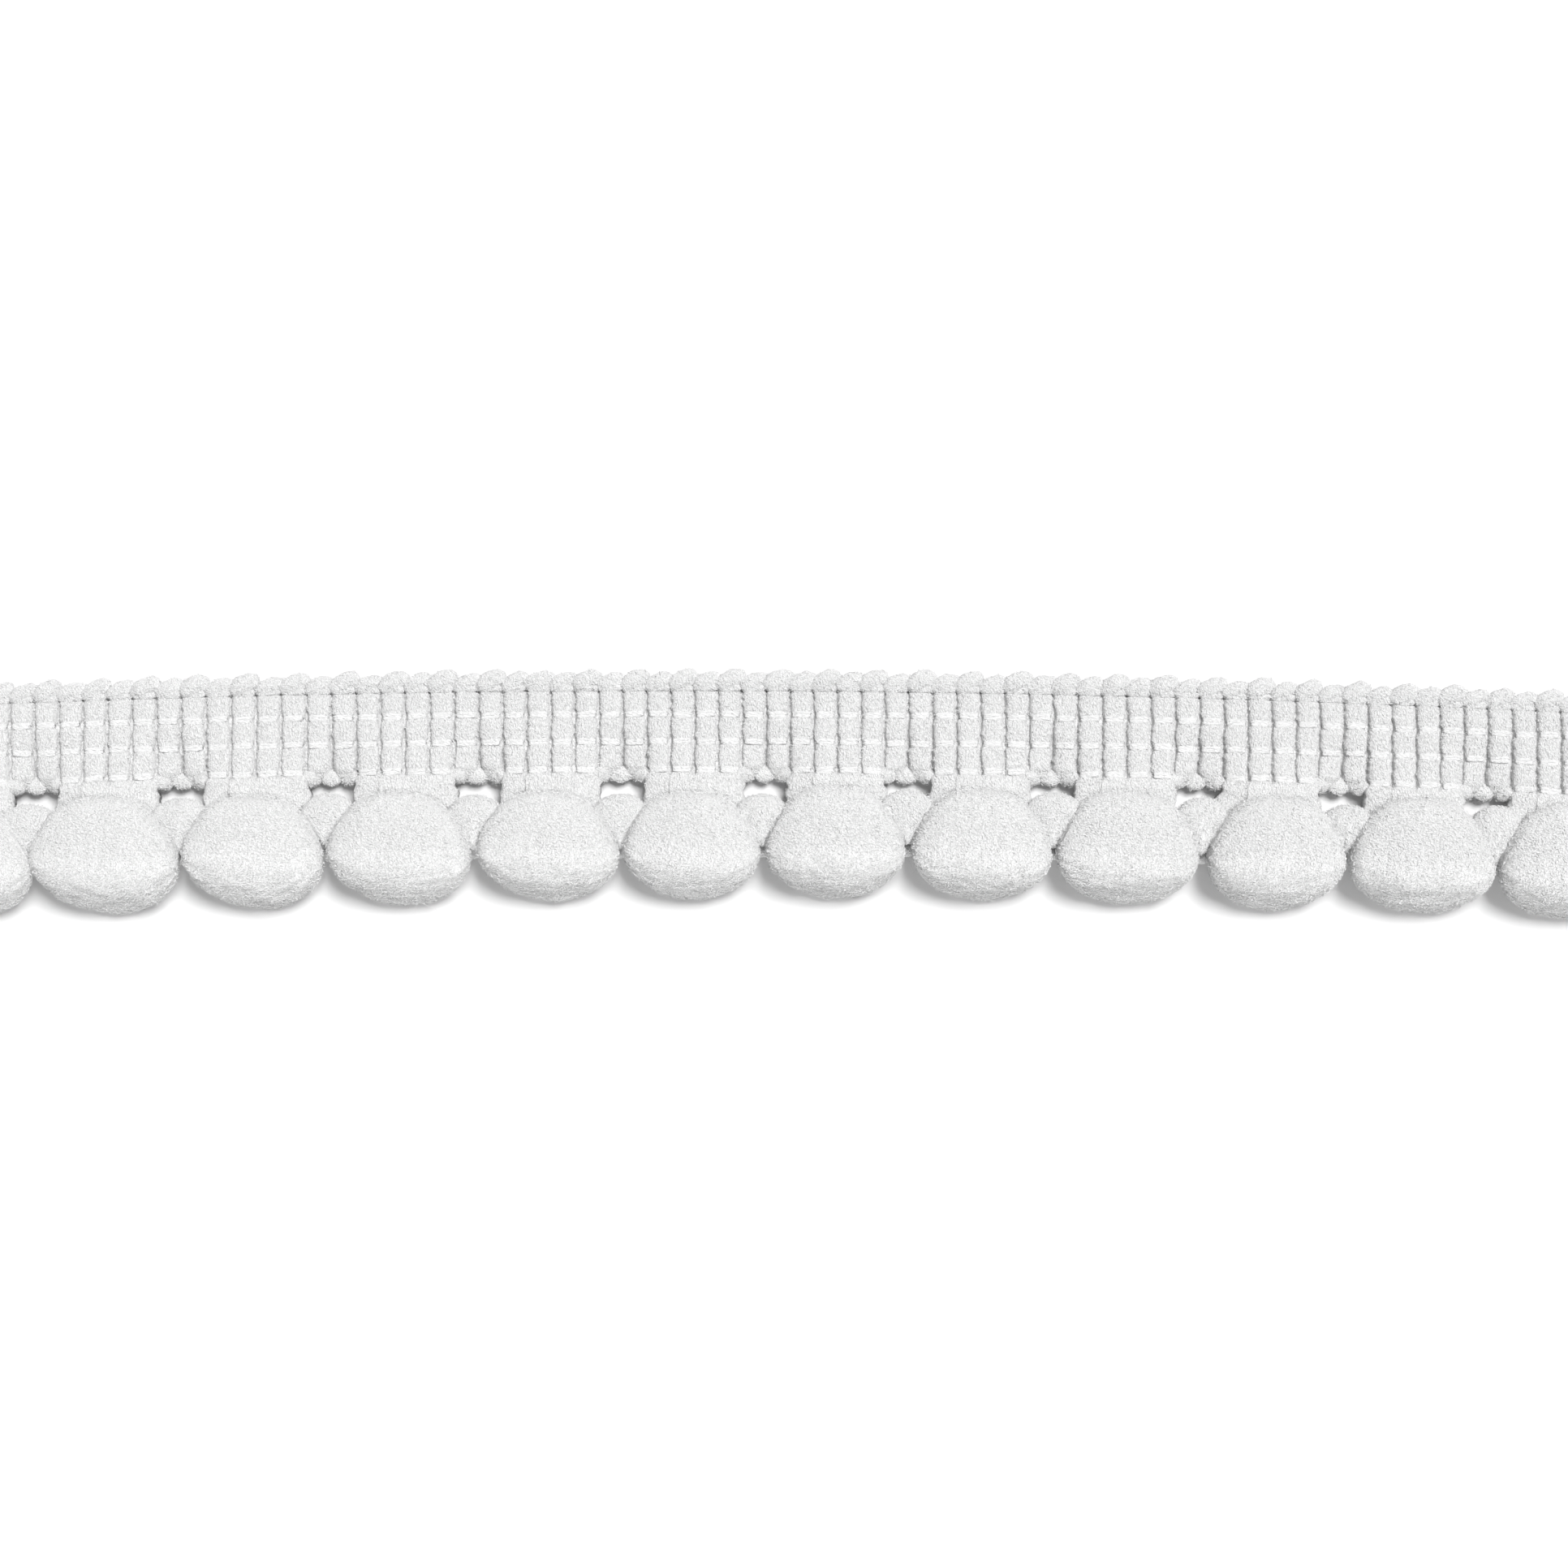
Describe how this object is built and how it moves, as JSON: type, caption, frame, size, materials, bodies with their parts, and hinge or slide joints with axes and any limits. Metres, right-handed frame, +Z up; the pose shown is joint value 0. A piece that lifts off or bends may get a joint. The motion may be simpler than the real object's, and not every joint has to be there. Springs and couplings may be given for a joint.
{
  "type": "pompom fringe trim",
  "caption": "Cut length of white pompom fringe trim: a ribbed knitted heading with a twisted picot edge and a row of soft puff pompoms along its lower side.",
  "frame": {"origin": "under the middle of the trim's box, on the table that it lies on", "axes": "+X along the trim, +Y across it from the pompoms towards the picot edge, +Z up from the table"},
  "size_m": [0.1384, 0.0197, 0.0069],
  "materials": {
    "heading_yarn": "matt white textured polyester yarn, knitted in ribs",
    "picot_yarn": "matt white textured polyester yarn, looped along the edge",
    "pompom_yarn": "white puffed polyester yarn, brushed like felt",
    "puff_yarn": "white puffed polyester yarn, fanned between the pompoms"
  },
  "bodies": {
    "root": {"heading": "heading_yarn", "picot_edge": "picot_yarn", "pompom_01": "pompom_yarn", "pompom_02": "pompom_yarn", "pompom_03": "pompom_yarn", "pompom_04": "pompom_yarn", "pompom_05": "pompom_yarn", "pompom_06": "pompom_yarn", "pompom_07": "pompom_yarn", "pompom_08": "pompom_yarn", "pompom_09": "pompom_yarn", "pompom_10": "pompom_yarn", "pompom_11": "pompom_yarn", "pompom_12": "pompom_yarn", "small_puff_01": "puff_yarn", "small_puff_02": "puff_yarn", "small_puff_03": "puff_yarn", "small_puff_04": "puff_yarn", "small_puff_05": "puff_yarn", "small_puff_06": "puff_yarn", "small_puff_07": "puff_yarn", "small_puff_08": "puff_yarn", "small_puff_09": "puff_yarn", "small_puff_10": "puff_yarn", "small_puff_11": "puff_yarn"}
  },
  "joints": []
}
